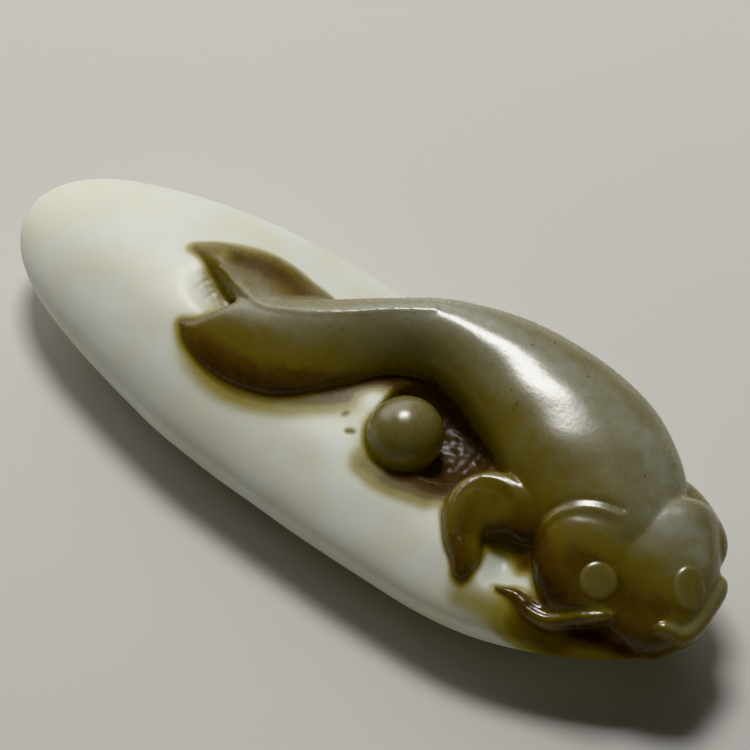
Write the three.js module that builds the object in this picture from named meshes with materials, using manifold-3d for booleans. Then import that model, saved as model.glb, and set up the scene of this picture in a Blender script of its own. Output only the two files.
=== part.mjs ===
// A jade pebble pendant, carved in high relief with a catfish that curls around a round bead.
// Millimetres. +X runs along the pebble from its plain end to the fish's head, +Y goes across it to the
// side of the fish's back, and +Z is up, out of the carved face. The origin is a point of the small flat
// spot on the underside that the stone lies on, under the middle of its length.

import * as THREE from "three";
import { mergeVertices } from "three/addons/utils/BufferGeometryUtils.js";
import Module from "manifold-3d";

const wasm = await Module();
wasm.setup();

// Driving dimensions of the stone.
const PEBBLE_LENGTH = 71.8;
const PEBBLE_MIDDLE_X = -0.9;
const PEBBLE_ENDS = 2.15; // exponent of the long outline: 2 is an ellipse, more is blunter
const BEAD_RADIUS = 3.3;
const GROUND_Z = 10.8; // height of the carved ground beside the fish
const UP = new THREE.Vector3(0, 0, 1);
const UNDERSIDE_EXPONENT = 2.4; // lower half of every section, a little fuller than an ellipse
const UNDER_DEPTH = 10; // thickness of the block that cuts the flat spot
const WELD_DISTANCE = 1e-5; // corners of a form closer than this are one corner

// Every form is a sphere whose poles lie at the two ends of a curved path. A station gives the place of
// the path, half the width, the height of the crest above the path, the depth below it, the exponent
// of the upper half of the section (2 is round, under 2 is a ridge) and how far the crest leans to +side.
const pebbleEnd = PEBBLE_LENGTH / 2;
const PEBBLE = [
  { at: [PEBBLE_MIDDLE_X - pebbleEnd, 0.5, 6.5], half: 13.1, above: 7.8, below: 6.6 },
  { at: [-20, 0.8, 6.4], half: 12.5, above: 6.6, below: 6.5 },
  { at: [-8, 0.6, 6.3], half: 12.0, above: 5.0, below: 6.4 },
  { at: [8, 0.3, 6.2], half: 12.1, above: 4.4, below: 6.4 },
  { at: [21, 0.5, 6.3], half: 13.1, above: 4.4, below: 6.4 },
  { at: [PEBBLE_MIDDLE_X + pebbleEnd, 0.5, 7.2], half: 11.6, above: 4.0, below: 6.2 },
];

// The fish from the tip of its lower tail lobe, over the narrow wrist, to the back under the head.
const BODY = [
  { at: [-16.4, -3.8, 11.1], half: 0.3, above: 0.5, below: 1 },
  { at: [-14.3, -3.9, 11], half: 1.7, above: 1.6, below: 2.2, ridge: 1.7, lean: 1 },
  { at: [-11.4, -2.9, 11], half: 3.4, above: 2.3, below: 2.6, ridge: 1.6, lean: 2.3 },
  { at: [-8, -0.8, 11.2], half: 4.6, above: 2.7, below: 3, ridge: 1.4, lean: 2 },
  { at: [-4.7, 2.1, 11.4], half: 4.2, above: 3.2, below: 3.5, ridge: 1.4, lean: 1.1 },
  { at: [-1.1, 5.7, 11.5], half: 3.4, above: 3.7, below: 4, ridge: 1.5, lean: 0.3 },
  { at: [3.6, 8.3, 11.5], half: 3.8, above: 4.2, below: 4.5, ridge: 1.8 },
  { at: [10.6, 8.6, 11.3], half: 5.6, above: 4.5, below: 5, ridge: 2.1 },
  { at: [19.3, 6.3, 11], half: 7.4, above: 4.4, below: 5, ridge: 2.1 },
  { at: [27.6, 1, 10], half: 7.3, above: 3.6, below: 5, ridge: 2.1 },
];
const UPPER_TAIL_LOBE = [
  { at: [-6.4, 3.3, 11], half: 3.2, above: 2.9, below: 3, ridge: 1.5, lean: 2 },
  { at: [-9.9, 3.4, 11], half: 3.1, above: 2.6, below: 3, ridge: 1.4, lean: 2.6 },
  { at: [-13.1, 3.7, 11], half: 3.1, above: 2.2, below: 3, ridge: 1.3, lean: 2.6 },
  { at: [-15.6, 3.6, 11], half: 2.7, above: 1.9, below: 2.4, ridge: 1.3, lean: 1.8 },
  { at: [-18.1, 3.3, 11.3], half: 1.6, above: 1.3, below: 2, ridge: 1.5, lean: 0.6 },
  { at: [-20.1, 2.8, 11.6], half: 0.45, above: 0.45, below: 1 },
];
const TAIL_FORK_RIDGE = [
  { at: [-15.2, 2, 12.3], half: 0.7, above: 0.6, below: 1.5, ridge: 1.5 },
  { at: [-13.5, 1.3, 12.5], half: 0.9, above: 0.8, below: 1.5, ridge: 1.4 },
  { at: [-11.2, 0.7, 12.8], half: 1.1, above: 0.8, below: 1.5, ridge: 1.4 },
  { at: [-9.2, 1.1, 13], half: 1.3, above: 0.8, below: 1.5, ridge: 1.4 },
  { at: [-7.1, 1.9, 13.2], half: 1.3, above: 0.8, below: 1.5, ridge: 1.4 },
];

// The broad flat head: a dome with a gill lobe bulging out behind on each side.
const HEAD_DOME = [
  { at: [26.2, 6.6, 11.2], half: 5.2, above: 2.7, below: 5, ridge: 2.2 },
  { at: [29.4, 0.6, 8.5], half: 5.8, above: 3.2, below: 5, ridge: 2.2 },
  { at: [29.2, -4.6, 6.4], half: 4.3, above: 2.5, below: 4.6, ridge: 2.2 },
];
const LEFT_GILL_LOBE = [
  { at: [21.6, 3.3, 10.6], half: 4.4, above: 3.8, below: 4, ridge: 2.4 },
  { at: [24.6, -1, 9.5], half: 4.7, above: 3.2, below: 4, ridge: 2.4 },
  { at: [28.4, -5.1, 7.5], half: 4.3, above: 2.8, below: 4, ridge: 2.2 },
];
const RIGHT_GILL_LOBE = [
  { at: [28.3, 8.2, 10.3], half: 2.8, above: 3.4, below: 4, ridge: 2.2, lean: -0.6 },
  { at: [30.7, 4, 9], half: 3.1, above: 3.2, below: 4, ridge: 2.2, lean: -0.8 },
  { at: [33.1, -1.7, 7.2], half: 3.4, above: 2.7, below: 4, ridge: 2.2, lean: -0.6 },
];
const LEFT_EYE = [
  { at: [26.3, -2.1, 11.9], half: 1.3, above: 0.4, below: 1.2, ridge: 2.6 },
  { at: [27.1, -3.2, 11.25], half: 1.5, above: 0.4, below: 1.2, ridge: 2.6 },
  { at: [27.9, -4.3, 10.4], half: 1.3, above: 0.4, below: 1.2, ridge: 2.6 },
];
const RIGHT_EYE = [
  { at: [32.5, 2.4, 11.3], half: 1.15, above: 0.4, below: 1.2, ridge: 2.6 },
  { at: [33.2, 1.0, 10.7], half: 1.3, above: 0.4, below: 1.2, ridge: 2.6 },
  { at: [33.9, -0.4, 9.95], half: 1.15, above: 0.4, below: 1.2, ridge: 2.6 },
];

// Fins that lie on the stone, and the two ribbon whiskers.
const LEFT_FIN = [
  { at: [20.4, -2.3, 10.2], half: 1.3, above: 1.3, below: 3, ridge: 1.4, lean: -0.5 },
  { at: [17.7, -1.6, 10.6], half: 2.1, above: 2, below: 3, ridge: 1.3, lean: -1.3 },
  { at: [15.6, -2.2, 10.6], half: 2.6, above: 2.1, below: 3, ridge: 1.3, lean: -1.7 },
  { at: [14.8, -3.8, 10.3], half: 2.5, above: 1.9, below: 3, ridge: 1.3, lean: -1.6 },
  { at: [15.3, -5.6, 9.9], half: 1.7, above: 1.5, below: 3, ridge: 1.4, lean: -0.8 },
  { at: [16.5, -7, 9.5], half: 1.3, above: 1.3, below: 3, ridge: 1.5, lean: -0.4 },
  { at: [17.2, -8.8, 8.8], half: 0.7, above: 0.7, below: 2 },
];
const RIGHT_FIN = [
  { at: [26.4, 9.7, 9.6], half: 0.8, above: 1.2, below: 2 },
  { at: [28.8, 8.2, 9.4], half: 1.5, above: 1.4, below: 2, ridge: 1.8 },
  { at: [31.4, 6.4, 9.2], half: 1.8, above: 1.4, below: 2, ridge: 1.8 },
  { at: [33.2, 4.8, 8.8], half: 1.3, above: 1.2, below: 2 },
];
const LEFT_WHISKER = [
  { at: [29.7, -4.2, 9.7], half: 0.3, above: 0.7, below: 1 },
  { at: [28.3, -5.1, 9.5], half: 0.55, above: 0.8, below: 1.2, ridge: 2.6 },
  { at: [26.6, -6.1, 8.8], half: 0.75, above: 0.85, below: 1.2, ridge: 2.6 },
  { at: [25.2, -6.9, 8.2], half: 0.85, above: 0.85, below: 1.2, ridge: 2.6 },
  { at: [23.6, -7.3, 8.2], half: 0.75, above: 0.8, below: 1.2, ridge: 2.6 },
  { at: [21.7, -7.15, 8.5], half: 0.55, above: 0.7, below: 1.2 },
  { at: [20, -7.5, 8.6], half: 0.25, above: 0.5, below: 0.8 },
];
const RIGHT_WHISKER = [
  { at: [32.6, -3.5, 9.1], half: 0.3, above: 0.5, below: 1 },
  { at: [33.4, -2.7, 9.5], half: 0.55, above: 0.6, below: 1.2, ridge: 2.4 },
  { at: [34.2, -2.3, 9], half: 0.6, above: 0.6, below: 1.3, ridge: 2.4 },
  { at: [34.6, -1.75, 8.6], half: 0.95, above: 0.7, below: 1.6, ridge: 2.2 },
  { at: [34.6, -0.45, 8.5], half: 1.25, above: 0.75, below: 1.6, ridge: 2.2 },
  { at: [34.4, 1.5, 8.8], half: 1.35, above: 0.8, below: 1.6, ridge: 2.2 },
  { at: [34.3, 3.2, 9], half: 1.3, above: 0.75, below: 1.6, ridge: 2.2 },
  { at: [34.05, 4.5, 9], half: 1.05, above: 0.6, below: 1.4, ridge: 2.2 },
];

// Hollows that are cut into the pebble before the fish is added.
const BEAD_CENTRE = [5.8, -1.1, GROUND_Z];
const BEAD_RECESS = [
  { at: [1.0, 0.6, GROUND_Z], half: 5.0, above: 3.0, below: 2.8 },
  { at: [7.4, 1.0, GROUND_Z], half: 4.6, above: 3.0, below: 2.8 },
  { at: [13.2, 1.0, GROUND_Z], half: 3.6, above: 3.0, below: 2.8 },
];
const TAIL_NOTCH = [
  { at: [-19.0, 0.2, 12.2], half: 2.3, above: 1.5, below: 1.2 },
  { at: [-15.9, 0.4, 12.1], half: 2.3, above: 1.5, below: 1.2 },
  { at: [-12.4, 0.6, 12.0], half: 2.3, above: 1.5, below: 1.2 },
];
const FIN_HOLLOW = [
  { at: [17.2, -2.8, 10.4], half: 2.2, above: 2.0, below: 1.8 },
  { at: [18.9, -4.8, 10.2], half: 2.2, above: 2.0, below: 1.8 },
  { at: [20.6, -6.8, 9.8], half: 2.2, above: 2.0, below: 1.6 },
];

const signedPower = (value, exponent) => Math.sign(value) * Math.abs(value) ** exponent;

function curveThrough(stations, pick) {
  const points = stations.map((station) => new THREE.Vector3(...pick(station)));
  return new THREE.CatmullRomCurve3(points, false, "catmullrom", 0.5);
}

// A unit sphere bent along the stations, with its poles on Y before bending.
function bentSphere(stations, { sides, rings, ends = 2 }) {
  const geometry = new THREE.SphereGeometry(1, sides, rings);
  const path = curveThrough(stations, (s) => s.at);
  const sizes = curveThrough(stations, (s) => [s.half, s.above, s.below]);
  const crest = curveThrough(stations, (s) => [s.ridge ?? 2, s.lean ?? 0, 0]);
  const position = geometry.attributes.position;
  const side = new THREE.Vector3();
  const over = new THREE.Vector3();
  const point = new THREE.Vector3();
  for (let i = 0; i < position.count; i += 1) {
    const pole = -position.getY(i);
    const along = (pole + 1) / 2;
    const round = Math.hypot(position.getX(i), position.getZ(i)) || 1;
    const across = position.getX(i) / round;
    const lift = position.getZ(i) / round;
    const rim = Math.max(0, 1 - Math.abs(pole) ** ends) ** (1 / ends);
    const tangent = path.getTangent(THREE.MathUtils.clamp(along, 0, 1));
    const [half, above, below] = sizes.getPoint(along).toArray();
    const [ridge, lean] = crest.getPoint(along).toArray();
    const exponent = 2 / (lift > 0 ? ridge : UNDERSIDE_EXPONENT);
    const rise = signedPower(lift, exponent);
    const sideways = rim * (half * signedPower(across, exponent) + lean * Math.max(0, rise));
    side.crossVectors(UP, tangent).normalize();
    over.crossVectors(tangent, side);
    point.copy(path.getPoint(along));
    point.addScaledVector(side, sideways);
    point.addScaledVector(over, rim * rise * (lift > 0 ? above : below));
    position.setXYZ(i, point.x, point.y, point.z);
  }
  return solidOf(geometry);
}

function solidOf(geometry) {
  geometry.deleteAttribute("normal");
  geometry.deleteAttribute("uv");
  const welded = mergeVertices(geometry, WELD_DISTANCE);
  const mesh = new wasm.Mesh({
    numProp: 3,
    vertProperties: new Float32Array(welded.attributes.position.array),
    triVerts: new Uint32Array(welded.index.array),
  });
  return new wasm.Manifold(mesh);
}

function bead() {
  const geometry = new THREE.SphereGeometry(BEAD_RADIUS, 18, 12);
  geometry.rotateX(Math.PI / 2);
  geometry.translate(...BEAD_CENTRE);
  return solidOf(geometry);
}

// Everything under the height of the flat spot.
function underFlatSpot() {
  const block = new THREE.BoxGeometry(PEBBLE_LENGTH * 2, PEBBLE_LENGTH * 2, UNDER_DEPTH);
  block.translate(0, 0, -UNDER_DEPTH / 2);
  return solidOf(block);
}

function carvedStone() {
  const hollows = [
    bentSphere(BEAD_RECESS, { sides: 20, rings: 12 }),
    bentSphere(TAIL_NOTCH, { sides: 12, rings: 8 }),
    bentSphere(FIN_HOLLOW, { sides: 12, rings: 8 }),
    underFlatSpot(),
  ];
  const forms = [
    bentSphere(BODY, { sides: 22, rings: 38, ends: 6 }),
    bentSphere(UPPER_TAIL_LOBE, { sides: 16, rings: 18, ends: 6 }),
    bentSphere(TAIL_FORK_RIDGE, { sides: 10, rings: 12, ends: 4 }),
    bentSphere(HEAD_DOME, { sides: 24, rings: 20, ends: 4 }),
    bentSphere(LEFT_GILL_LOBE, { sides: 22, rings: 18, ends: 3.4 }),
    bentSphere(RIGHT_GILL_LOBE, { sides: 20, rings: 18, ends: 3.4 }),
    bentSphere(LEFT_EYE, { sides: 14, rings: 10 }),
    bentSphere(RIGHT_EYE, { sides: 14, rings: 10 }),
    bentSphere(LEFT_FIN, { sides: 14, rings: 22, ends: 6 }),
    bentSphere(RIGHT_FIN, { sides: 12, rings: 14, ends: 3 }),
    bentSphere(LEFT_WHISKER, { sides: 10, rings: 22, ends: 4 }),
    bentSphere(RIGHT_WHISKER, { sides: 10, rings: 20, ends: 4 }),
    bead(),
  ];
  let stone = bentSphere(PEBBLE, { sides: 44, rings: 38, ends: PEBBLE_ENDS });
  for (const hollow of hollows) {
    stone = stone.subtract(hollow);
  }
  for (const form of forms) {
    stone = stone.add(form);
  }
  return stone;
}

function geometryOf(solid) {
  const { vertProperties, triVerts, numProp } = solid.getMesh();
  const geometry = new THREE.BufferGeometry();
  const positions = new THREE.InterleavedBuffer(vertProperties, numProp);
  geometry.setAttribute("position", new THREE.InterleavedBufferAttribute(positions, 3, 0));
  geometry.setIndex(new THREE.BufferAttribute(triVerts, 1));
  geometry.computeVertexNormals();
  return geometry;
}

const jade = new THREE.MeshStandardMaterial({ color: "#cfcdb4", roughness: 0.32, metalness: 0 });
const pendant = new THREE.Mesh(geometryOf(carvedStone()), jade);
pendant.name = "jade_catfish_pendant";

const part = new THREE.Group();
part.add(pendant);
export default part;
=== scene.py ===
import math
from collections import namedtuple

import bmesh
import bpy
import numpy as np
from mathutils import Matrix, Vector
from mathutils.bvhtree import BVHTree


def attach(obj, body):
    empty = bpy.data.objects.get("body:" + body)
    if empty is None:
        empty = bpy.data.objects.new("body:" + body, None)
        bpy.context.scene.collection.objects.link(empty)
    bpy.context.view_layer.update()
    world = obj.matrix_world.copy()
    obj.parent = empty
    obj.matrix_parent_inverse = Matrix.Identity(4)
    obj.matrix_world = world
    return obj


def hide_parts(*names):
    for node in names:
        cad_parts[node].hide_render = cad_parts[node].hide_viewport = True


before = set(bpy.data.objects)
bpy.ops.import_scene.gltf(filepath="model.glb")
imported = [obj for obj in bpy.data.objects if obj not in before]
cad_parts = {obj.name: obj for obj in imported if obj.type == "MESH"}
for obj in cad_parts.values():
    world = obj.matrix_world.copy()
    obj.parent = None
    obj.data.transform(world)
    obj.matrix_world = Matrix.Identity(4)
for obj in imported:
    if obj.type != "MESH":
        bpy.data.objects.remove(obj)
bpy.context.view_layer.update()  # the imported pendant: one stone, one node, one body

bl_info = {
    "name": "Carved jade catfish pendant",
    "version": (1, 0, 0),
    "blender": (4, 5, 0),
    "location": "View3D > Sidebar > Jade",
    "description": "Carves and polishes a jade pebble with a catfish in high relief",
    "category": "Object",
}

NODE = "jade_catfish_pendant"
BODY = "root"
MM = 0.001
LOWEST_LINE_Z = 7.5
MERGE_MM = 1e-4
TINY = 1e-12

# Forms of the carving, in millimetres, in the frame's axes: +X to the fish's head, +Y to its back, +Z up.
# A station gives the place of a form's path, half its width, the height of the crest over the path, the
# depth under it, the exponent of the upper section (2 is round, less is a ridge) and the crest's lean.
Station = namedtuple("Station", "x y z half above below ridge lean", defaults=(2.0, 0.0))
Form = namedtuple("Form", "stations sides rings ends")
UNDERSIDE_EXPONENT = 2.4

PEBBLE = Form(
    [
        Station(-36.8, 0.5, 6.5, 13.1, 7.8, 6.6),
        Station(-20.0, 0.8, 6.4, 12.5, 6.6, 6.5),
        Station(-8.0, 0.6, 6.3, 12.0, 5.0, 6.4),
        Station(8.0, 0.3, 6.2, 12.1, 4.4, 6.4),
        Station(21.0, 0.5, 6.3, 13.1, 4.4, 6.4),
        Station(35.0, 0.5, 7.2, 11.6, 4.0, 6.2),
    ],
    sides=360, rings=360, ends=2.15,
)
FISH = {
    "body": Form(
        [
            Station(-16.4, -3.8, 11.1, 0.3, 0.5, 1.0),
            Station(-14.3, -3.9, 11.0, 1.7, 1.6, 2.2, 1.7, 1.0),
            Station(-11.4, -2.9, 11.0, 3.4, 2.3, 2.6, 1.6, 2.3),
            Station(-8.0, -0.8, 11.2, 4.6, 2.7, 3.0, 1.4, 2.0),
            Station(-4.7, 2.1, 11.4, 4.2, 3.2, 3.5, 1.4, 1.1),
            Station(-1.1, 5.7, 11.5, 3.4, 3.7, 4.0, 1.5, 0.3),
            Station(3.6, 8.3, 11.5, 3.8, 4.2, 4.5, 1.8),
            Station(10.6, 8.6, 11.3, 5.6, 4.5, 5.0, 2.1),
            Station(19.3, 6.3, 11.0, 7.4, 4.4, 5.0, 2.1),
            Station(27.6, 1.0, 10.0, 7.3, 3.6, 5.0, 2.1),
        ],
        sides=180, rings=300, ends=6,
    ),
    "upper_tail_lobe": Form(
        [
            Station(-6.4, 3.3, 11.0, 3.2, 2.9, 3.0, 1.5, 2.0),
            Station(-9.9, 3.4, 11.0, 3.1, 2.6, 3.0, 1.4, 2.6),
            Station(-13.1, 3.7, 11.0, 3.1, 2.2, 3.0, 1.3, 2.6),
            Station(-15.6, 3.6, 11.0, 2.7, 1.9, 2.4, 1.3, 1.8),
            Station(-18.1, 3.3, 11.3, 1.6, 1.3, 2.0, 1.5, 0.6),
            Station(-20.1, 2.8, 11.6, 0.45, 0.45, 1.0),
        ],
        sides=120, rings=120, ends=6,
    ),
    "tail_fork_ridge": Form(
        [
            Station(-15.2, 2.0, 12.3, 0.7, 0.6, 1.5, 1.5),
            Station(-13.5, 1.3, 12.5, 0.9, 0.8, 1.5, 1.4),
            Station(-11.2, 0.7, 12.8, 1.1, 0.8, 1.5, 1.4),
            Station(-9.2, 1.1, 13.0, 1.3, 0.8, 1.5, 1.4),
            Station(-7.1, 1.9, 13.2, 1.3, 0.8, 1.5, 1.4),
        ],
        sides=64, rings=80, ends=4,
    ),
    "head_dome": Form(
        [
            Station(26.2, 6.6, 11.2, 5.2, 2.7, 5.0, 2.2),
            Station(29.4, 0.6, 8.5, 5.8, 3.2, 5.0, 2.2),
            Station(29.2, -4.6, 6.4, 4.3, 2.5, 4.6, 2.2),
        ],
        sides=160, rings=120, ends=4,
    ),
    "left_gill_lobe": Form(
        [
            Station(21.6, 3.3, 10.6, 4.4, 3.8, 4.0, 2.4),
            Station(24.6, -1.0, 9.5, 4.7, 3.2, 4.0, 2.4),
            Station(28.4, -5.1, 7.5, 4.3, 2.8, 4.0, 2.2),
        ],
        sides=140, rings=110, ends=3.4,
    ),
    "right_gill_lobe": Form(
        [
            Station(28.3, 8.2, 10.3, 2.8, 3.4, 4.0, 2.2, -0.6),
            Station(30.7, 4.0, 9.0, 3.1, 3.2, 4.0, 2.2, -0.8),
            Station(33.1, -1.7, 7.2, 3.4, 2.7, 4.0, 2.2, -0.6),
        ],
        sides=120, rings=110, ends=3.4,
    ),
    "left_fin": Form(
        [
            Station(20.4, -2.3, 10.2, 1.3, 1.3, 3.0, 1.4, -0.5),
            Station(17.7, -1.6, 10.6, 2.1, 2.0, 3.0, 1.3, -1.3),
            Station(15.6, -2.2, 10.6, 2.6, 2.1, 3.0, 1.3, -1.7),
            Station(14.8, -3.8, 10.3, 2.5, 1.9, 3.0, 1.3, -1.6),
            Station(15.3, -5.6, 9.9, 1.7, 1.5, 3.0, 1.4, -0.8),
            Station(16.5, -7.0, 9.5, 1.3, 1.3, 3.0, 1.5, -0.4),
            Station(17.2, -8.8, 8.8, 0.7, 0.7, 2.0),
        ],
        sides=96, rings=140, ends=6,
    ),
    "right_fin": Form(
        [
            Station(26.4, 9.7, 9.6, 0.8, 1.2, 2.0),
            Station(28.8, 8.2, 9.4, 1.5, 1.4, 2.0, 1.8),
            Station(31.4, 6.4, 9.2, 1.8, 1.4, 2.0, 1.8),
            Station(33.2, 4.8, 8.8, 1.3, 1.2, 2.0),
        ],
        sides=80, rings=80, ends=3,
    ),
    "left_whisker": Form(
        [
            Station(29.7, -4.2, 9.7, 0.3, 0.7, 1.0),
            Station(28.3, -5.1, 9.5, 0.55, 0.8, 1.2, 2.6),
            Station(26.6, -6.1, 8.8, 0.75, 0.85, 1.2, 2.6),
            Station(25.2, -6.9, 8.2, 0.85, 0.85, 1.2, 2.6),
            Station(23.6, -7.3, 8.2, 0.75, 0.8, 1.2, 2.6),
            Station(21.7, -7.15, 8.5, 0.55, 0.7, 1.2),
            Station(20.0, -7.5, 8.6, 0.25, 0.5, 0.8),
        ],
        sides=48, rings=120, ends=4,
    ),
    "right_whisker": Form(
        [
            Station(32.6, -3.5, 9.1, 0.3, 0.5, 1.0),
            Station(33.4, -2.7, 9.5, 0.55, 0.6, 1.2, 2.4),
            Station(34.2, -2.3, 9.0, 0.6, 0.6, 1.3, 2.4),
            Station(34.6, -1.75, 8.6, 0.95, 0.7, 1.6, 2.2),
            Station(34.6, -0.45, 8.5, 1.25, 0.75, 1.6, 2.2),
            Station(34.4, 1.5, 8.8, 1.35, 0.8, 1.6, 2.2),
            Station(34.3, 3.2, 9.0, 1.3, 0.75, 1.6, 2.2),
            Station(34.05, 4.5, 9.0, 1.05, 0.6, 1.4, 2.2),
        ],
        sides=48, rings=110, ends=4,
    ),
}
# Forms that flow into each other, and how many times their shared surface is eased.
FUSED = {
    ("body", "upper_tail_lobe", "tail_fork_ridge"): 10,
    ("head_dome", "left_gill_lobe", "right_gill_lobe"): 30,
    ("left_fin",): 8,
}
FUSE_VOXEL = 0.2
BEAD_CENTRE = (5.8, -1.1, 10.8)
BEAD_RADIUS = 3.3

# Hollows cut in the pebble: centre, half length, half width and depth, and the way the length points.
Hollow = namedtuple("Hollow", "centre length width depth toward")
RECESS = Hollow((7.7, 1.0, 10.8), 5.5, 4.6, 2.8, (1.0, 0.04))
FIN_HOLLOW = Hollow((18.9, -4.8, 10.2), 4.2, 2.9, 1.6, (0.65, -0.76))
TAIL_NOTCH = Hollow((-13.6, 0.4, 12.1), 6.0, 3.0, 0.9, (1.0, 0.06))

# Lines cut into the finished top, seen from above: places on X and Y, half width and depth. A line of
# negative depth is a raised rim.
Line = namedtuple("Line", "points width depth")
LINES = {
    "gill_step": Line(
        [(20.4, -3.9), (20.1, -2.4), (20.4, -1.0), (21.2, 0.2), (22.4, 1.2), (23.8, 1.95), (25.4, 2.5)],
        width=0.30, depth=0.12,
    ),
    "gill_rim": Line(
        [(21.0, -3.7), (20.7, -2.4), (21.0, -1.3), (21.7, -0.3), (22.8, 0.6), (24.1, 1.3), (25.6, 1.9)],
        width=0.28, depth=-0.10,
    ),
    "gill_channel": Line(
        [(21.6, -3.4), (21.3, -2.3), (21.6, -1.4), (22.3, -0.6), (23.2, 0.0), (24.4, 0.6), (25.8, 1.2)],
        width=0.30, depth=0.04,
    ),
    "fin_rim": Line(
        [
            (14.0, -6.2), (12.9, -4.6), (12.8, -3.2), (13.2, -2.2),
            (14.1, -1.4), (15.6, -0.9), (17.3, -1.1), (18.9, -1.7),
        ],
        width=0.22, depth=-0.05,
    ),
    "fin_channel": Line(
        [(15.6, -7.0), (14.0, -5.0), (13.6, -3.6), (14.0, -2.5), (15.0, -1.9), (16.4, -1.7), (18.2, -2.2)],
        width=0.30, depth=0.05,
    ),
    "tail_ridge": Line(
        [
            (-16.3, 2.0), (-13.7, 1.07), (-11.3, 0.53), (-9.3, 0.96),
            (-7.1, 1.9), (-4.3, 3.6), (-1.2, 5.9), (2.0, 8.0),
        ],
        width=0.30, depth=-0.12,
    ),
    "whisker_channel": Line(
        [(29.2, -4.6), (27.5, -5.6), (26.0, -6.5), (24.5, -7.15), (23.2, -7.3)],
        width=0.22, depth=0.16,
    ),
}
# Flat raised discs of the eyes, seen from above.
Disc = namedtuple("Disc", "centre toward length width")
EYES = [
    Disc((27.2, -3.25), (0.63, -0.78), 1.30, 1.48),
    Disc((33.3, 0.95), (0.50, -0.87), 1.60, 1.22),
]
EYE_RISE = 0.14
EYE_TONE = 0.46
LOWEST_EYE_Z = 9
# The part of the top that keeps all its triangles, and the rough stone between the tail's lobes.
CARVED_FACE = Disc((8.0, 0.8), (1.0, 0.0), 30.0, 12.0)
FORK = Disc((-15.6, 0.6), (1.0, 0.2), 2.8, 2.0)
FORK_ROUGH = 0.5

# Marks that go in and out of the surface: how deep, how far apart in millimetres, and the seed of the draw.
Marks = namedtuple("Marks", "depth spacing seed")
HAND_POLISH = Marks(0.02, 5.0, 3)
GOUGES = Marks(0.07, 1.4, 5)
FINE_GOUGES = Marks(0.035, 0.7, 8)
FORK_GOUGES = Marks(0.03, 0.8, 11)
WAVES = 7
WAVE_SPREAD = (0.7, 1.4)

# Where an effect fades, from none of it at the first number to all of it at the second. An edge is a share
# of the size of its hollow or disc. The others are in millimetres, but LOOKS_UP is the rise of a normal.
LOOKS_UP = (0.1, 0.35)
EYE_EDGE = (1.10, 0.90)
EYE_COLOUR_EDGE = (1.08, 0.98)
RECESS_EDGE = (1.1, 0.85)
RECESS_TOP_Z = (11.0, 10.2)
OFF_BEAD = (0.1, 0.4)
FORK_EDGE = (1.0, 0.5)
FORK_TOP_Z = (12.5, 12.1)
OVER_FISH = (-0.12, 0.12)
SHADE_EDGE = (1.42, 1.0)
SHADE_SIDE = (1.0, 7.5)
NEAR_SIDE_Y = (1.5, -1.5)
TAIL_END_X = (9.0, 1.0)

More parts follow.
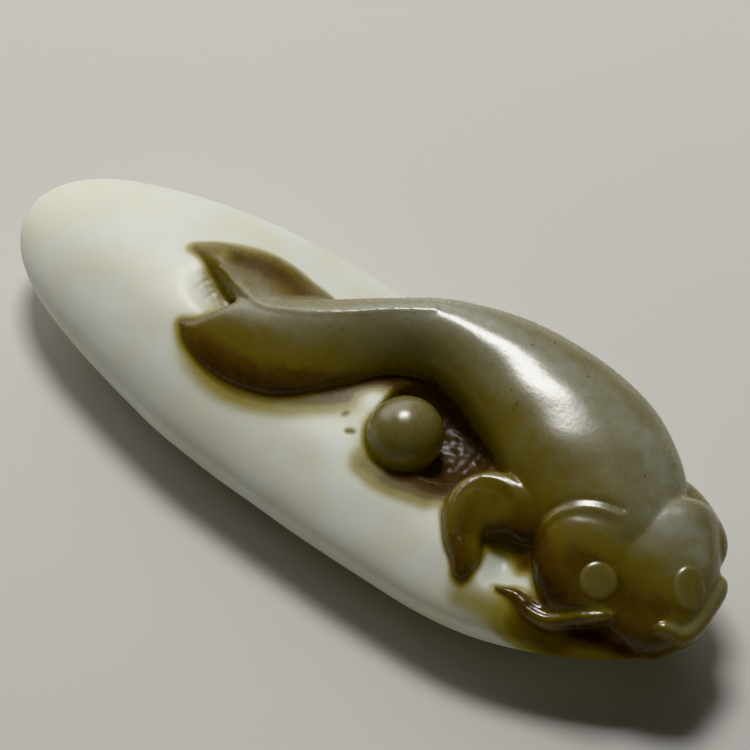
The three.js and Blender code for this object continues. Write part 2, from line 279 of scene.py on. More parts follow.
# Soft strokes of colour. Tone 0 is the palest jade and 1 the darkest brown skin. The skin starts from
# SKIN_TONE, and the ground from the palest stone. A stroke or line counts only in the box around its path,
# widened by BOX_MARGIN millimetres.
SKIN_TONE = 0.5
BOX_MARGIN = 6
FAR = 1e9
Stroke = namedtuple("Stroke", "points radius tone strength")
SKIN_STROKES = [
    Stroke([(-12.5, -3.0, 13.2), (-9.0, -1.6, 13.8), (-5.0, 0.6, 14.0)], 2.2, 0.58, 0.6),
    Stroke([(-16.0, -4.0, 11.5), (-13.4, -5.2, 11.4)], 1.7, 0.72, 1.0),
    Stroke([(-12.0, -5.6, 11.4), (-7.6, -5.1, 11.5), (-3.8, -3.1, 11.4)], 1.8, 0.9, 1.0),
    # Partly brown skin, partly painted shade on the body's wall over the recess.
    Stroke([(-3.8, -3.1, 11.4), (-1.5, -0.6, 11.6), (1.5, 2.2, 11.4), (4.5, 4.4, 10.5)], 1.2, 0.84, 0.9),
    # Painted light: lightens the upper body near the tail, which faces the viewer and away from the lights.
    Stroke([(-6.0, 0.6, 14.1), (-2.5, 3.0, 14.5), (1.5, 5.6, 14.4)], 1.7, 0.36, 0.75),
    Stroke([(-17.2, 3.6, 12.3), (-12.6, 4.4, 12.5), (-9.0, 4.6, 12.6)], 2.2, 0.7, 1.0),
    Stroke([(-16.0, 4.0, 12.1), (-12.6, 4.9, 12.0), (-9.8, 4.7, 12.3)], 1.0, 0.8, 0.8),
    Stroke([(-19.6, 2.7, 12.2), (-19.0, 3.0, 12.3)], 0.7, 0.30, 0.9),
    # Partly the skin's own pale grey, partly a painted highlight along the ridge and the upper back.
    Stroke([(-12.5, -0.2, 13.3), (-7.4, 1.4, 14.2), (-1.9, 5.3, 15.1), (2.0, 8.6, 15.4)], 1.5, 0.20, 0.9),
    Stroke([(2.0, 9.0, 15.4), (12.8, 9.4, 15.7), (22.9, 9.0, 14.4), (26.2, 7.0, 13.5)], 4.0, 0.18, 0.95),
    # Partly the olive skin, partly painted light that lifts the shaded flank beside the recess.
    Stroke([(6.0, 5.0, 13.0), (12.0, 2.2, 13.0), (18.0, -0.5, 12.5)], 1.8, 0.52, 0.8),
    Stroke([(27.5, 3.0, 13.3), (31.5, 5.0, 12.6), (32.5, 3.5, 12.0)], 2.2, 0.15, 0.9),
    Stroke([(23.5, 0.0, 13.4), (26.0, 0.5, 13.1)], 2.2, 0.42, 0.85),
    # Partly dark brown skin, partly painted shade on the chin under the head.
    Stroke([(20.5, -4.5, 10.5), (24.5, -6.0, 10.0), (29.0, -6.3, 8.0), (33.5, -4.5, 7.5)], 2.5, 0.97, 1.0),
    # Partly brown skin, partly painted shade on the head's front, which faces away from the lights.
    Stroke([(25.0, -3.0, 11.8), (30.0, -2.5, 10.6), (33.5, -1.5, 9.6)], 2.3, 0.8, 0.9),
    Stroke([(19.6, -2.2, 11.8), (17.2, -1.4, 12.2), (15.2, -2.6, 12.2), (14.8, -4.4, 11.7)], 1.8, 0.72, 0.85),
    Stroke([(15.3, -6.5, 11.0), (17.1, -8.7, 9.3)], 1.4, 0.84, 0.9),
    # Painted shade in the hollow under the fin's arch.
    Stroke([(17.8, -4.4, 10.0), (18.9, -3.8, 10.4), (20.2, -3.4, 10.8)], 1.4, 0.98, 1.0),
    Stroke([(28.8, -4.9, 10.2), (26.6, -6.3, 9.5), (24.6, -7.2, 8.9)], 0.9, 0.60, 0.9),
    Stroke([(23.4, -7.4, 9.0), (20.0, -7.9, 9.2)], 0.9, 0.85, 0.9),
    Stroke([(34.2, -2.2, 9.9), (35.0, -1.0, 9.0), (35.0, 1.4, 9.3), (34.8, 4.4, 9.4)], 1.0, 0.34, 0.9),
    Stroke([(4.5, -2.0, 13.8), (7.5, 0.0, 13.8)], 2.6, 0.38, 0.8),
]
# Here the skin is worn thin, at the tip of the upper tail lobe.
THIN_SKIN = [Stroke([(-20.2, 2.6, 12.1), (-17.8, 3.2, 12.4)], 0.9, 1.0, 0.8)]
GROUND_STROKES = [
    Stroke([(-20.2, 2.6, 12.1), (-18.0, 3.1, 12.3)], 0.9, 0.42, 0.9),
    Stroke([(-12.4, -6.2, 11.5), (-9.5, -6.8, 11.0), (-5.0, -5.4, 11.0), (-0.5, -1.9, 10.8)], 2.1, 0.32, 0.8),
    Stroke(
        [(-10.8, -6.3, 11.5), (-8.5, -6.1, 11.0), (-5.0, -4.7, 11.0), (-0.5, -1.3, 10.8)], 1.0, 0.56, 0.85
    ),
    # Partly brown stain, partly painted shade on the ground under the body's edge.
    Stroke([(-2.4, -1.0, 10.9), (-0.9, 0.6, 10.9), (0.9, 2.4, 10.8), (2.6, 3.2, 10.6)], 1.1, 0.96, 1.0),
    Stroke([(4.6, -5.2, 10.2), (7.0, -5.4, 10.1), (10.5, -4.6, 10.1)], 1.5, 0.52, 0.9),
    Stroke([(7.2, -4.3, 10.2), (8.8, -3.8, 10.2), (11.2, -3.2, 10.2)], 1.1, 0.84, 1.0),
    Stroke([(0.4, -2.5, 10.7), (0.5, -2.3, 10.7)], 0.22, 0.62, 0.9),
    Stroke([(1.6, -3.6, 10.5), (1.95, -3.4, 10.5)], 0.26, 0.66, 0.9),
    Stroke([(18.0, -9.6, 8.2), (22.5, -9.0, 8.0), (27.0, -9.0, 6.5)], 2.0, 0.36, 0.9),
    # Partly stain, partly painted shade on the pebble's front edge under the head.
    Stroke([(24.0, -8.0, 7.6), (28.0, -8.4, 5.5), (33.0, -5.0, 5.0), (35.5, -0.5, 5.5)], 2.2, 0.80, 0.95),
    # Painted shade, with some stain, in umber on the pebble under the chin.
    Stroke([(27.6, -6.6, 7.9), (29.5, -5.8, 7.9), (31.5, -5.2, 7.2), (33.2, -4.3, 6.2)], 1.4, 0.98, 1.0),
    Stroke([(-17.4, 1.4, 12.0), (-15.6, 0.6, 11.9), (-14.2, -0.2, 11.8)], 1.2, 0.36, 0.85),
    # Painted shade on the ground in the hollow under the fin.
    Stroke([(16.8, -4.2, 9.8), (18.6, -3.8, 9.4), (20.4, -4.2, 9.3)], 1.25, 0.97, 1.0),
]
STROKE_STEPS = 12
# Stain that gathers beside the fish, and a wider one on the near side of the tail: how much, and how wide.
Stain = namedtuple("Stain", "share width")
CREVICE = Stain(0.35, 0.45)
BESIDE_TAIL = Stain(0.2, 1.8)
# The gouged floor is darker towards the fish's back and head, past a slanting line: partly brown stain in the
# cut, partly painted shade under the overhanging body.
SHADE_TONE = 0.9
SHADE_SLANT = 1.2
SHADE_TOP_Z = 11.5

# The colour of the stone. These fields are stored on its vertices.
FIELDS = ("skin", "skin_tone", "ground_tone", "rough_cut")
# Noise in the stone, with its size in millimetres and its detail. The grain lies under the polish.
STONE_NOISE = {"clouds": (6.0, 2.0), "mottle": (1.2, 5.0), "grain": (0.3, 3.0)}
CLOUD_SHARE = 0.45
UNEVEN_TONE = 0.22
FULL_STAIN = 0.25
GOUGED_SHARE = 0.75
# Dark specks lie in about a third of the cells, 0.13 mm across, or 0.29 mm with their soft edge.
SPECK_CELL_MM = 1.1
SPECK_REACH = (0.06, 0.13)
SPECK_STRENGTH = 0.6
BARE_CELLS = 0.66
# The gloss is high on the skin and satin on the white stone, and stained cuts were never polished.
SKIN_ROUGHNESS = 0.27
GROUND_ROUGHNESS = 0.42
RECESS_ROUGHNESS = 0.4
GRAIN_ROUGHNESS = 0.12
SKIN_SHEEN = 0.65
GROUND_SHEEN = 0.45
UNPOLISHED = 0.38
DULL_ROUGHNESS = 1.6
MOTTLE_RIPPLES = 2.0

# The sums behind colour and gloss. A row names its result, the operation, and what goes in: numbers, and the
# names of fields, noises and earlier results.
JADE_MATHS = [
    # Clouds and mottles shift the tones, and the ground's only where it is stained.
    ("cloudy", "MULTIPLY", "clouds", CLOUD_SHARE),
    ("uneven", "ADD", "cloudy", "mottle"),
    ("uneven", "MULTIPLY_ADD", "uneven", UNEVEN_TONE, -UNEVEN_TONE * (CLOUD_SHARE + 1) / 2),
    ("skin_place", "ADD", "skin_tone", "uneven"),
    ("ground_uneven", "MULTIPLY", "uneven", "ground_tone"),
    ("ground_place", "ADD", "ground_tone", "ground_uneven"),
    # Stain settles in the gouged cuts, and specks in the skin.
    ("stained_cut", "MULTIPLY", "rough_cut", "ground_tone"),
    ("gouged", "MULTIPLY", "stained_cut", GOUGED_SHARE),
    ("chosen", "GREATER_THAN", "cell_draw", BARE_CELLS),
    ("specks", "MULTIPLY", "dot", "chosen"),
    ("specks", "MULTIPLY", "specks", "skin"),
    # Stained ground outside the gouged cuts sends back hardly any of the light that the polished skin does.
    ("unpolished", "MULTIPLY_ADD", "skin", -UNPOLISHED, UNPOLISHED),
    ("dull", "MULTIPLY", "ground_tone", "unpolished"),
    ("uncut", "SUBTRACT", 1.0, "rough_cut"),
    ("dull", "MULTIPLY", "dull", "uncut"),
    ("sheen", "MULTIPLY_ADD", "skin", SKIN_SHEEN - GROUND_SHEEN, GROUND_SHEEN),
    ("sheen", "SUBTRACT", "sheen", "dull"),
    ("rough", "MULTIPLY_ADD", "skin", SKIN_ROUGHNESS - GROUND_ROUGHNESS, GROUND_ROUGHNESS),
    ("rough_stain", "MULTIPLY", "dull", DULL_ROUGHNESS),
    ("rough_floor", "MULTIPLY", "rough_cut", RECESS_ROUGHNESS),
    ("rough_ground", "MAXIMUM", "rough_stain", "rough_floor"),
    ("rough", "MAXIMUM", "rough", "rough_ground"),
    ("rough_grain", "MULTIPLY_ADD", "grain", GRAIN_ROUGHNESS, -GRAIN_ROUGHNESS / 2),
    ("rough", "ADD", "rough", "rough_grain"),
    # The polish leaves slight ripples.
    ("mottle_ripples", "MULTIPLY", "mottle", MOTTLE_RIPPLES),
    ("ripples", "ADD", "grain", "mottle_ripples"),
]
# What drives each ramp of colours, and where on it the named colours of the panel lie.
JADE_RAMPS = {
    "skin_colour": (
        "skin_place", {"celadon": 0.0, "olive_grey": 0.35, "olive": 0.6, "brown": 0.8, "umber": 1.0},
    ),
    "stone": ("clouds", {"white": 0.35, "cream": 0.6}),
    # The ground's ramp colours painted shade as well as stain, since both are in its tone.
    "stain": ("ground_place", {"cream": 0.1, "stain": 0.4, "olive": 0.6, "brown": 0.8, "umber": 1.0}),
}
# Layers of colour over the white stone, from the lowest: how much of each shows, and its colour.
JADE_LAYERS = [("stained", "stain"), ("skin", "skin_colour"), ("gouged", "bare_cut"), ("specks", "speck")]

# Soft lights: the way to each from the stone, its distance and its two sides in metres.
Light = namedtuple("Light", "toward distance size")
LIGHTS = {
    "key": Light((-0.31, 0.35, 0.92), 0.5, (0.15, 0.12)),
    "window": Light((-0.80, 0.42, 0.43), 0.8, (1.0, 0.6)),
    "fill": Light((0.5, -0.6, 0.5), 0.8, (0.6, 0.6)),
}
FLOOR_REACH = 2.0

# The camera looks down on the carved face. It aims a little to the right of its target and above it, as seen
# in the picture.
CAMERA_AZIMUTH = math.radians(38)
CAMERA_ELEVATION = math.radians(56)
CAMERA_DISTANCE = 320 * MM
CAMERA_TARGET = Vector((0, 0, 6.2)) * MM
AIM_RIGHT = 1.40 * MM
AIM_UP = 3.97 * MM
LENS_MM = 179.7
SENSOR_MM = 36
CLIP_START = 20 * MM


def linear(hex_colour):
    """Linear red, green, blue and alpha of an sRGB colour such as #d8d4c2."""
    parts = [int(hex_colour[i : i + 2], 16) / 255 for i in (1, 3, 5)]
    curve = [p / 12.92 if p <= 0.04045 else ((p + 0.055) / 1.055) ** 2.4 for p in parts]
    return (*curve, 1.0)


def smoothstep(low, high, value):
    """0 up to low, 1 from high on, and a smooth rise between. Low may also be the larger of the two."""
    t = np.clip((value - low) / (high - low), 0, 1)
    return t * t * (3 - 2 * t)


def along(values, t):
    """Values at t, from 0 to 1, on the smooth curve through evenly spaced stations."""
    values = np.asarray(values, float)
    padded = np.vstack([2 * values[0] - values[1], values, 2 * values[-1] - values[-2]])
    spans = len(values) - 1
    place = np.clip(t, 0, 1) * spans
    first = np.minimum(place.astype(int), spans - 1)
    w = (place - first)[:, None]
    before, start, end, after = (padded[first + k] for k in range(4))
    bend = 2 * before - 5 * start + 4 * end - after
    twist = 3 * start - before - 3 * end + after
    return 0.5 * (2 * start + (end - before) * w + bend * w**2 + twist * w**3)


def fading(distance, width):
    """1 where the distance is 0, and a soft fall to nothing by about twice the width."""
    return np.exp(-((distance / width) ** 2))


def unit_rows(rows):
    return rows / np.maximum(np.linalg.norm(rows, axis=1, keepdims=True), TINY)


def signed_power(value, exponent):
    return np.sign(value) * np.abs(value) ** exponent


def bend(flat, form):
    """Rolls a flat grid, from -1 to 1 both ways, into the closed form along its stations."""
    pole = np.sin(math.pi / 2 * flat[:, 1])
    t = (pole + 1) / 2
    across, lift = np.cos(math.pi * flat[:, 0]), np.sin(math.pi * flat[:, 0])
    values = along(form.stations, t)
    step = 1e-3
    tangent = unit_rows(along(form.stations, t + step)[:, :3] - along(form.stations, t - step)[:, :3])
    side = unit_rows(np.cross((0.0, 0.0, 1.0), tangent))
    over = np.cross(tangent, side)
    half, above, below, ridge, lean = values[:, 3:].T
    exponent = 2 / np.where(lift > 0, ridge, UNDERSIDE_EXPONENT)
    rise = signed_power(lift, exponent)
    rim = np.maximum(0, 1 - np.abs(pole) ** form.ends) ** (1 / form.ends)
    sideways = rim * (half * signed_power(across, exponent) + lean * np.maximum(0, rise))
    upward = rim * rise * np.where(lift > 0, above, below)
    return values[:, :3] + sideways[:, None] * side + upward[:, None] * over


def add_form(bm, form):
    """Adds a grid rolled into the form along its stations, closed at its seam and its ends."""
    made = bmesh.ops.create_grid(bm, x_segments=form.sides, y_segments=form.rings, size=1)
    flat = np.array([vert.co for vert in made["verts"]])
    for vert, place in zip(made["verts"], bend(flat, form)):
        vert.co = place
    bmesh.ops.remove_doubles(bm, verts=made["verts"], dist=MERGE_MM)


def reach_of(places, hollow):
    """How far out each place lies over a hollow: 0 in the middle and 1 at the edge."""
    length_way = np.array(hollow.toward) / np.hypot(*hollow.toward)
    width_way = np.array((-length_way[1], length_way[0]))
    offset = places[:, :2] - np.array(hollow.centre[:2])
    return np.hypot(offset @ length_way / hollow.length, offset @ width_way / hollow.width)


def carve_hollows(verts):
    """Lowers the top of the pebble: a round recess for the bead and two dips that fade out."""
    places = np.array([vert.co for vert in verts])
    top = places[:, 2] > PEBBLE.stations[2].z
    height = places[:, 2].copy()
    for dip in (TAIL_NOTCH, FIN_HOLLOW):
        height -= top * dip.depth * smoothstep(1.0, 0.0, reach_of(places, dip))
    inside = np.maximum(0, 1 - reach_of(places, RECESS) ** 2)
    floor = RECESS.centre[2] - RECESS.depth * np.sqrt(inside)
    height = np.where(top & (inside > 0), np.minimum(height, floor), height)
    for vert, z in zip(verts, np.maximum(height, 0)):
        vert.co.z = z


def add_pebble(bm):
    """Adds the pebble with its hollows to whatever the bmesh already holds."""
    earlier = set(bm.verts)
    add_form(bm, PEBBLE)
    carve_hollows([vert for vert in bm.verts if vert not in earlier])


def fused(names, passes):
    """The named forms as one closed mesh, with the creases between them filled by easing."""
    bm = bmesh.new()
    for name in names:
        add_form(bm, FISH[name])
    mesh = bpy.data.meshes.new("fused")
    bm.to_mesh(mesh)
    bm.free()
    mesh = with_modifier(mesh, "REMESH", mode="VOXEL", voxel_size=FUSE_VOXEL, adaptivity=0.0)
    relax(mesh, passes)
    return mesh


def fish_bmesh():
    """The catfish and the bead, as closed forms that run through each other."""
    bm = bmesh.new()
    bmesh.ops.create_icosphere(bm, subdivisions=5, radius=BEAD_RADIUS, matrix=Matrix.Translation(BEAD_CENTRE))
    for names, passes in FUSED.items():
        mesh = fused(names, passes)
        bm.from_mesh(mesh)
        bpy.data.meshes.remove(mesh)
    for name, form in FISH.items():
        if not any(name in names for names in FUSED):
            add_form(bm, form)
    return bm


def polyline(points, count=40):
    """Evenly spread places on the smooth curve through the points."""
    return along(points, np.linspace(0, 1, count))


def distance_to(places, line):
    """Distance of each place from a line of points, or FAR where it lies well away from the line."""
    nearest = np.full(len(places), FAR)
    low, high = line.min(axis=0) - BOX_MARGIN, line.max(axis=0) + BOX_MARGIN
    close = np.all((places > low) & (places < high), axis=1)
    near = places[close]
    best = np.full(len(near), FAR)
    for start, end in zip(line[:-1], line[1:]):
        way = end - start
        part = np.clip((near - start) @ way / max(way @ way, TINY), 0, 1)
        best = np.minimum(best, np.linalg.norm(near - start - part[:, None] * way, axis=1))
    nearest[close] = best
    return nearest


def with_modifier(mesh, kind, where=None, **settings):
    """A new mesh, made from this one by a modifier, at the vertices marked by where if that is given."""
    holder = bpy.data.objects.new("modifier_holder", mesh)
    if where is not None:
        holder.vertex_groups.new(name="where").add(np.flatnonzero(where).tolist(), 1.0, "REPLACE")
        settings["vertex_group"] = "where"
    bpy.context.scene.collection.objects.link(holder)
    modifier = holder.modifiers.new(kind, kind)
    for name, value in settings.items():
        setattr(modifier, name, value)
    graph = bpy.context.evaluated_depsgraph_get()
    result = bpy.data.meshes.new_from_object(holder.evaluated_get(graph))
    bpy.data.objects.remove(holder)
    bpy.data.meshes.remove(mesh)
    return result


def places_of(mesh):
    flat = np.empty(len(mesh.vertices) * 3, np.float32)
    mesh.vertices.foreach_get("co", flat)
    return flat.reshape(-1, 3).astype(float)


def normals_of(mesh):
    flat = np.empty(len(mesh.vertices) * 3, np.float32)
    mesh.vertex_normals.foreach_get("vector", flat)
    return flat.reshape(-1, 3).astype(float)


def set_places(mesh, places):
    mesh.vertices.foreach_set("co", places.astype(np.float32).ravel())
    mesh.update()


def relax(mesh, passes, share=0.5):
    """Moves every vertex towards the middle of its neighbours, a few times over."""
    ends = np.empty(len(mesh.edges) * 2, np.int32)
    mesh.edges.foreach_get("vertices", ends)
    first, second = ends[0::2], ends[1::2]
    places = places_of(mesh)
    count = len(places)
    neighbours = np.bincount(ends, minlength=count)[:, None]
    for _ in range(passes):
        total = np.empty_like(places)
        for axis in range(3):
            column = places[:, axis]
            total[:, axis] = np.bincount(first, column[second], count)
            total[:, axis] += np.bincount(second, column[first], count)
        places += share * (total / neighbours - places)
    set_places(mesh, places)


def ripple(places, marks):
    """Gentle uneven waves, between about -1 and 1, with bumps about as far apart as the marks."""
    draw = np.random.default_rng(marks.seed)
    total = np.zeros(len(places))
    for _ in range(WAVES):
        way = draw.normal(size=3)
        way *= 2 * math.pi / (marks.spacing * np.linalg.norm(way)) * draw.uniform(*WAVE_SPREAD)
        total += np.sin(places @ way + draw.uniform(0, 2 * math.pi))
    return total / math.sqrt(WAVES)


def recess_mask(places):
    """1 on the gouged floor beside the bead, 0 elsewhere."""
    from_bead = np.linalg.norm(places - BEAD_CENTRE, axis=1) - BEAD_RADIUS
    inside = smoothstep(*RECESS_EDGE, reach_of(places, RECESS)) * smoothstep(*OFF_BEAD, from_bead)
    return inside * smoothstep(*RECESS_TOP_Z, places[:, 2])


def fork_mask(places):
    """1 on the rough stone between the tail's lobes, 0 elsewhere."""
    return smoothstep(*FORK_EDGE, reach_of(places, FORK)) * smoothstep(*FORK_TOP_Z, places[:, 2])


def cut_details(mesh):
    """Grooves, gouge marks and the slight unevenness of hand polish, moved along the normals."""
    places = places_of(mesh)
    normals = normals_of(mesh)
    push = HAND_POLISH.depth * ripple(places, HAND_POLISH)
    shown = smoothstep(*LOOKS_UP, normals[:, 2]) * (places[:, 2] > LOWEST_LINE_Z)
    for line in LINES.values():
        gap = distance_to(places[:, :2], polyline(line.points))
        push -= line.depth * shown * fading(gap, line.width)
    for eye in EYES:
        push += EYE_RISE * shown * smoothstep(*EYE_EDGE, reach_of(places, eye))
    gouges = GOUGES.depth * ripple(places, GOUGES) + FINE_GOUGES.depth * ripple(places, FINE_GOUGES)
    push += recess_mask(places) * gouges
    push += FORK_GOUGES.depth * fork_mask(places) * ripple(places, FORK_GOUGES)
    set_places(mesh, places + push[:, None] * normals)


def drop_bubbles(mesh):
    """Takes out the tiny closed shells that a voxel remesh can leave inside the stone."""
    bm = bmesh.new()
    bm.from_mesh(mesh)
    outside = {max(bm.verts, key=lambda vert: vert.co.z)}
    front = list(outside)
    while front:
        vert = front.pop()
        for edge in vert.link_edges:
            other = edge.other_vert(vert)
            if other not in outside:
                outside.add(other)
                front.append(other)
    bmesh.ops.delete(bm, geom=[vert for vert in bm.verts if vert not in outside], context="VERTS")
    bm.to_mesh(mesh)
    bm.free()


def carved_mesh(forms, voxel_mm, passes, triangles):
    """The stone in millimetres: its forms fused by a voxel remesh, eased, cut and thinned."""
    mesh = bpy.data.meshes.new("forms")
    forms.to_mesh(mesh)
    mesh = with_modifier(mesh, "REMESH", mode="VOXEL", voxel_size=voxel_mm, adaptivity=0.0)
    drop_bubbles(mesh)
    relax(mesh, passes)
    cut_details(mesh)
    relax(mesh, 1)
    faces = 2 * len(mesh.polygons)  # a remesh leaves quads, of two triangles each
    if faces > triangles:
        places = places_of(mesh)
        plain = (reach_of(places, CARVED_FACE) > 1) | (places[:, 2] < LOWEST_LINE_Z)
        mesh = with_modifier(mesh, "DECIMATE", where=plain, decimate_type="COLLAPSE", ratio=triangles / faces)
    places = places_of(mesh)
    places[:, 2] = np.maximum(places[:, 2], 0)
    set_places(mesh, places)
    return mesh


def nearest_distances(places, tree):
    """Distance of each place from the surface that the tree holds."""
    return np.array([tree.find_nearest(Vector(place))[3] for place in places])


def paint(tone, places, strokes):
    """Brings the tone near each stroke to the stroke's own, softly."""
    for stroke in strokes:
        gap = distance_to(places, polyline(stroke.points, STROKE_STEPS))
        amount = stroke.strength * fading(gap, stroke.radius)
        tone = tone + (stroke.tone - tone) * amount
    return tone


def colour_attributes(mesh, fish):
    """Stores where the brown skin is, how dark it is, how dark the ground is from stain and painted shade,
    and where it is rough.
    """
    places = places_of(mesh)
    nothing = np.zeros(len(places))
    pebble = bmesh.new()
    add_pebble(pebble)
    from_fish = nearest_distances(places, fish)
    from_pebble = nearest_distances(places, BVHTree.FromBMesh(pebble))
    pebble.free()
    skin = smoothstep(*OVER_FISH, from_pebble - from_fish)
    skin *= 1 - paint(nothing, places, THIN_SKIN)
    skin_tone = paint(np.full(len(places), SKIN_TONE), places, SKIN_STROKES)
    for eye in EYES:
        on_eye = smoothstep(*EYE_COLOUR_EDGE, reach_of(places, eye)) * (places[:, 2] > LOWEST_EYE_Z)
        skin_tone += (EYE_TONE - skin_tone) * on_eye
    # The ground strokes hold stain and, where marked, painted shade.
    ground_tone = paint(nothing, places, GROUND_STROKES)
    # Painted shade, with the cut's brown stain, on the recess floor under the body.
    shade = smoothstep(*SHADE_SIDE, places[:, 0] + SHADE_SLANT * places[:, 1])
    shade = shade * smoothstep(*SHADE_EDGE, reach_of(places, RECESS)) * (places[:, 2] < SHADE_TOP_Z)
    ground_tone = ground_tone + (SHADE_TONE - ground_tone) * shade
    near_tail = smoothstep(*NEAR_SIDE_Y, places[:, 1]) * smoothstep(*TAIL_END_X, places[:, 0])
    crevice = CREVICE.share * fading(from_fish, CREVICE.width)
    crevice = crevice + BESIDE_TAIL.share * near_tail * fading(from_fish, BESIDE_TAIL.width)
    ground_tone = ground_tone + (1 - ground_tone) * crevice
    rough_cut = recess_mask(places) + FORK_ROUGH * fork_mask(places)
    for name, values in zip(FIELDS, (skin, skin_tone, ground_tone, rough_cut)):
        layer = mesh.attributes.new(name, "FLOAT", "POINT")
        layer.data.foreach_set("value", np.clip(values, 0, 1).astype(np.float32))


def node(tree, kind, settings=None, **links):
    """Adds a node. Settings go to its properties, and links to its inputs, from a socket or as a value."""
    made = tree.nodes.new(kind)
    for name, value in (settings or {}).items():
        setattr(made, name, value)
    for name, value in links.items():
        key = int(name[2:]) if name.startswith("in") and name[2:].isdigit() else name.replace("_", " ")
        socket = made.inputs[key]
        if isinstance(value, bpy.types.NodeSocket):
            tree.links.new(value, socket)
        else:
            socket.default_value = value
    return made


def nephrite(colours):
    """Nephrite jade, polished by hand: waxy and a little see-through, glossy on its skin and satin below."""
    material = bpy.data.materials.new("nephrite_polished")
    material.use_nodes = True
    tree = material.node_tree
    tree.nodes.clear()
    place = node(tree, "ShaderNodeTexCoord").outputs["Object"]
    made = {"bare_cut": linear(colours.gouged), "speck": linear(colours.umber)}
    for name in FIELDS:
        made[name] = node(tree, "ShaderNodeAttribute", {"attribute_name": name}).outputs["Fac"]
    for name, (size_mm, detail) in STONE_NOISE.items():
        noise = node(tree, "ShaderNodeTexNoise", Vector=place, Scale=1 / (size_mm * MM), Detail=detail)
        made[name] = noise.outputs["Fac"]
    cells = node(tree, "ShaderNodeTexVoronoi", Vector=place, Scale=1 / (SPECK_CELL_MM * MM))
    made["cell_draw"] = node(tree, "ShaderNodeSeparateColor", Color=cells.outputs["Color"]).outputs[0]
    full, none = SPECK_REACH
    made["dot"] = node(
        tree, "ShaderNodeMapRange", Value=cells.outputs["Distance"], From_Min=full, From_Max=none,
        To_Min=SPECK_STRENGTH, To_Max=0.0,
    ).outputs[0]
    for name, operation, *values in JADE_MATHS:
        links = {f"in{index}": made.get(value, value) for index, value in enumerate(values)}
        made[name] = node(tree, "ShaderNodeMath", {"operation": operation}, **links).outputs[0]
    made["stained"] = node(
        tree, "ShaderNodeMapRange", {"interpolation_type": "SMOOTHSTEP"},
        Value=made["ground_place"], From_Max=FULL_STAIN,
    ).outputs[0]
    for name, (factor, stops) in JADE_RAMPS.items():
        ramp = node(tree, "ShaderNodeValToRGB", Fac=made[factor])
        ramp.color_ramp.interpolation = "EASE"
        while len(ramp.color_ramp.elements) < len(stops):
            ramp.color_ramp.elements.new(0.5)
        for element, (colour_name, position) in zip(ramp.color_ramp.elements, stops.items()):
            element.position = position
            element.color = linear(getattr(colours, colour_name))
        made[name] = ramp.outputs["Color"]
    colour = made["stone"]
    for factor, layer in JADE_LAYERS:
        inputs = {"in0": made[factor], "in6": colour, "in7": made[layer]}
        colour = node(tree, "ShaderNodeMix", {"data_type": "RGBA"}, **inputs).outputs[2]
    bump = node(tree, "ShaderNodeBump", Height=made["ripples"], Strength=0.3, Distance=0.018 * MM)
    # Light goes nearly 2 mm into the stone, the warm part of it furthest, which gives the waxy depth.
    shader = node(
        tree,
        "ShaderNodeBsdfPrincipled",
        {"subsurface_method": "RANDOM_WALK"},
        Base_Color=colour,
        Roughness=made["rough"],
        IOR=1.61,
        Normal=bump.outputs["Normal"],
        Specular_IOR_Level=made["sheen"],
        Subsurface_Weight=0.7,
        Subsurface_Radius=(1.0, 0.85, 0.5),
        Subsurface_Scale=1.8 * MM,
    )
    node(tree, "ShaderNodeOutputMaterial", Surface=shader.outputs[0])
    return material


def painted_board(colour):
    """Fibreboard under matt paint: even and with no gloss, so that it shows the stone's shadow alone."""
    material = bpy.data.materials.new("fibreboard_painted_matt")
    material.use_nodes = True
    tree = material.node_tree
    tree.nodes.clear()
    shader = node(tree, "ShaderNodeBsdfPrincipled", Base_Color=linear(colour), Roughness=0.9)
    node(tree, "ShaderNodeOutputMaterial", Surface=shader.outputs[0])
    return material


class PendantSettings(bpy.types.PropertyGroup):
    voxel_mm: bpy.props.FloatProperty(
        name="Carving grain", description="Size of the finest carved form, in mm", default=0.155, min=0.08
    )
    easing: bpy.props.IntProperty(
        name="Edge easing", description="Passes of polishing that round the edges", default=4, min=0
    )
    triangles: bpy.props.IntProperty(
        name="Triangles", description="Most triangles in the finished stone", default=190000, min=20000
    )


class JadeColours(bpy.types.PropertyGroup):
    white: bpy.props.StringProperty(name="White", description="Clearest white stone", default="#dfe1d8")
    cream: bpy.props.StringProperty(name="Cream", description="Warm white stone", default="#dddccb")
    stain: bpy.props.StringProperty(name="Stain", description="Yellow stain of the ground", default="#a3985a")
    celadon: bpy.props.StringProperty(name="Celadon", description="Palest skin", default="#aaaa9e")
    olive_grey: bpy.props.StringProperty(name="Olive grey", description="Pale skin", default="#8b8566")
    olive: bpy.props.StringProperty(name="Olive", description="Middle skin", default="#74652b")
    brown: bpy.props.StringProperty(name="Brown", description="Dark skin", default="#57421a")
    gouged: bpy.props.StringProperty(name="Gouged", description="Rough, stained cuts", default="#5c4c3a")
    umber: bpy.props.StringProperty(name="Umber", description="Darkest skin", default="#301f10")


class StageSettings(bpy.types.PropertyGroup):
    floor: bpy.props.StringProperty(name="Floor", description="Colour of the floor", default="#d9d6cf")
    key_watts: bpy.props.FloatProperty(
        name="Key light", description="Power of the soft light overhead", default=1.55, unit="POWER"
    )
    window_watts: bpy.props.FloatProperty(
        name="Window light", description="Power of the low soft light behind", default=2.5, unit="POWER"
    )
    fill_watts: bpy.props.FloatProperty(
        name="Fill light", description="Power of the light on the viewer's side", default=0.15, unit="POWER"
    )
    sky: bpy.props.FloatProperty(name="Sky", description="Strength of the even light", default=0.09, min=0)


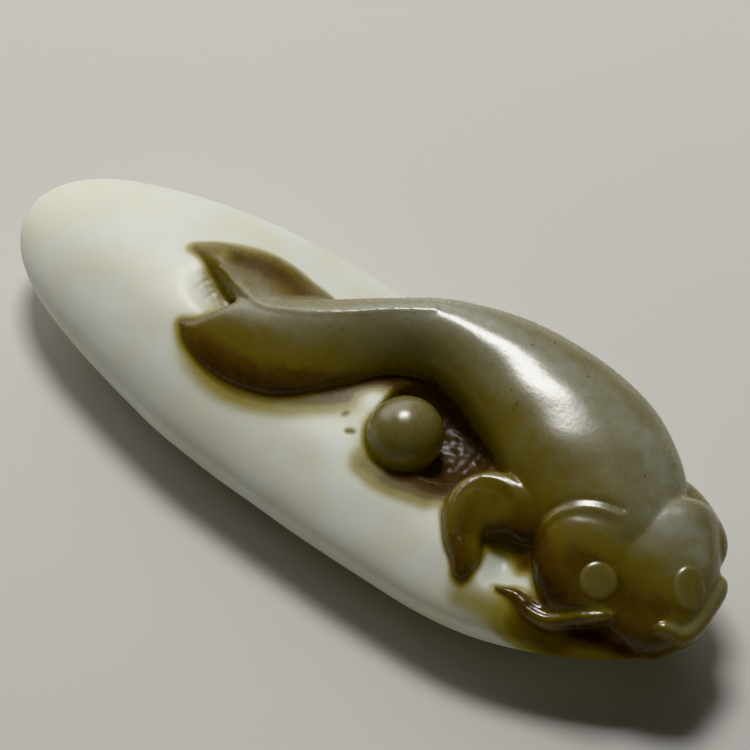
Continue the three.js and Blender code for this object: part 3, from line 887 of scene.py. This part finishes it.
class JADE_OT_carve_pendant(bpy.types.Operator):
    """Carve the pebble, the catfish and the bead as one stone"""

    bl_idname = "jade.carve_pendant"
    bl_label = "Carve pendant"

    def execute(self, context):
        settings = context.scene.jade_pendant
        forms = fish_bmesh()
        fish = BVHTree.FromBMesh(forms)
        add_pebble(forms)
        mesh = carved_mesh(forms, settings.voxel_mm, settings.easing, settings.triangles)
        forms.free()
        colour_attributes(mesh, fish)
        mesh.transform(Matrix.Scale(MM, 4))
        mesh.shade_smooth()
        mesh.name = "carved_stone"
        mesh.materials.clear()
        mesh.materials.append(nephrite(context.scene.jade_colours))
        stone = bpy.data.objects.new("carved_stone", mesh)
        context.scene.collection.objects.link(stone)
        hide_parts(NODE)
        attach(stone, BODY)
        return {"FINISHED"}


class JADE_OT_set_stage(bpy.types.Operator):
    """Lay the floor, hang the lights and set the camera"""

    bl_idname = "jade.set_stage"
    bl_label = "Set stage"

    def execute(self, context):
        stage = context.scene.jade_stage
        lay_floor(stage)
        hang_lights(stage)
        set_camera()
        return {"FINISHED"}


class JADE_PT_panel(bpy.types.Panel):
    """Lists the steps that make the pendant"""

    bl_label = "Jade pendant"
    bl_space_type = "VIEW_3D"
    bl_region_type = "UI"
    bl_category = "Jade"

    def draw(self, context):
        layout = self.layout
        for group in (context.scene.jade_pendant, context.scene.jade_colours, context.scene.jade_stage):
            for name in group.bl_rna.properties.keys():
                if name not in ("rna_type", "name"):
                    layout.prop(group, name)
        layout.operator(JADE_OT_carve_pendant.bl_idname)
        layout.operator(JADE_OT_set_stage.bl_idname)


def lay_floor(stage):
    bm = bmesh.new()
    bmesh.ops.create_grid(bm, x_segments=1, y_segments=1, size=FLOOR_REACH)
    mesh = bpy.data.meshes.new("floor")
    bm.to_mesh(mesh)
    bm.free()
    mesh.materials.append(painted_board(stage.floor))
    floor = bpy.data.objects.new("floor", mesh)
    bpy.context.scene.collection.objects.link(floor)


def camera_axes():
    back = Vector(
        (
            math.sin(CAMERA_AZIMUTH) * math.cos(CAMERA_ELEVATION),
            -math.cos(CAMERA_AZIMUTH) * math.cos(CAMERA_ELEVATION),
            math.sin(CAMERA_ELEVATION),
        )
    )
    right = Vector((math.cos(CAMERA_AZIMUTH), math.sin(CAMERA_AZIMUTH), 0))
    return back, right, back.cross(right)


def set_camera():
    back, right, up = camera_axes()
    camera = bpy.data.objects.new("camera", bpy.data.cameras.new("camera"))
    bpy.context.scene.collection.objects.link(camera)
    camera.location = CAMERA_TARGET + back * CAMERA_DISTANCE
    aim = CAMERA_TARGET + right * AIM_RIGHT + up * AIM_UP
    camera.rotation_euler = (aim - camera.location).to_track_quat("-Z", "Y").to_euler()
    camera.data.lens = LENS_MM
    camera.data.sensor_width = SENSOR_MM
    camera.data.clip_start = CLIP_START
    bpy.context.scene.camera = camera


def hang_lights(stage):
    """Hangs the soft lights, each with its power from the panel, and lights the sky evenly."""
    for name, lamp in LIGHTS.items():
        data = bpy.data.lights.new(name, "AREA")
        data.shape = "RECTANGLE"
        data.size, data.size_y = lamp.size
        data.energy = getattr(stage, f"{name}_watts")
        light = bpy.data.objects.new(name, data)
        light.location = CAMERA_TARGET + Vector(lamp.toward).normalized() * lamp.distance
        light.rotation_euler = (CAMERA_TARGET - light.location).to_track_quat("-Z", "Y").to_euler()
        bpy.context.scene.collection.objects.link(light)
    world = bpy.data.worlds.new("studio")
    world.use_nodes = True
    world.node_tree.nodes["Background"].inputs["Color"].default_value = (1, 1, 1, 1)
    world.node_tree.nodes["Background"].inputs["Strength"].default_value = stage.sky
    bpy.context.scene.world = world
    bpy.context.scene.view_settings.view_transform = "Khronos PBR Neutral"


CLASSES = (
    PendantSettings,
    JadeColours,
    StageSettings,
    JADE_OT_carve_pendant,
    JADE_OT_set_stage,
    JADE_PT_panel,
)


def register():
    for cls in CLASSES:
        bpy.utils.register_class(cls)
    bpy.types.Scene.jade_pendant = bpy.props.PointerProperty(type=PendantSettings)
    bpy.types.Scene.jade_colours = bpy.props.PointerProperty(type=JadeColours)
    bpy.types.Scene.jade_stage = bpy.props.PointerProperty(type=StageSettings)


def unregister():
    del bpy.types.Scene.jade_stage
    del bpy.types.Scene.jade_colours
    del bpy.types.Scene.jade_pendant
    for cls in reversed(CLASSES):
        bpy.utils.unregister_class(cls)


def main():
    register()
    bpy.ops.jade.carve_pendant()
    bpy.ops.jade.set_stage()


if __name__ == "__main__":
    main()
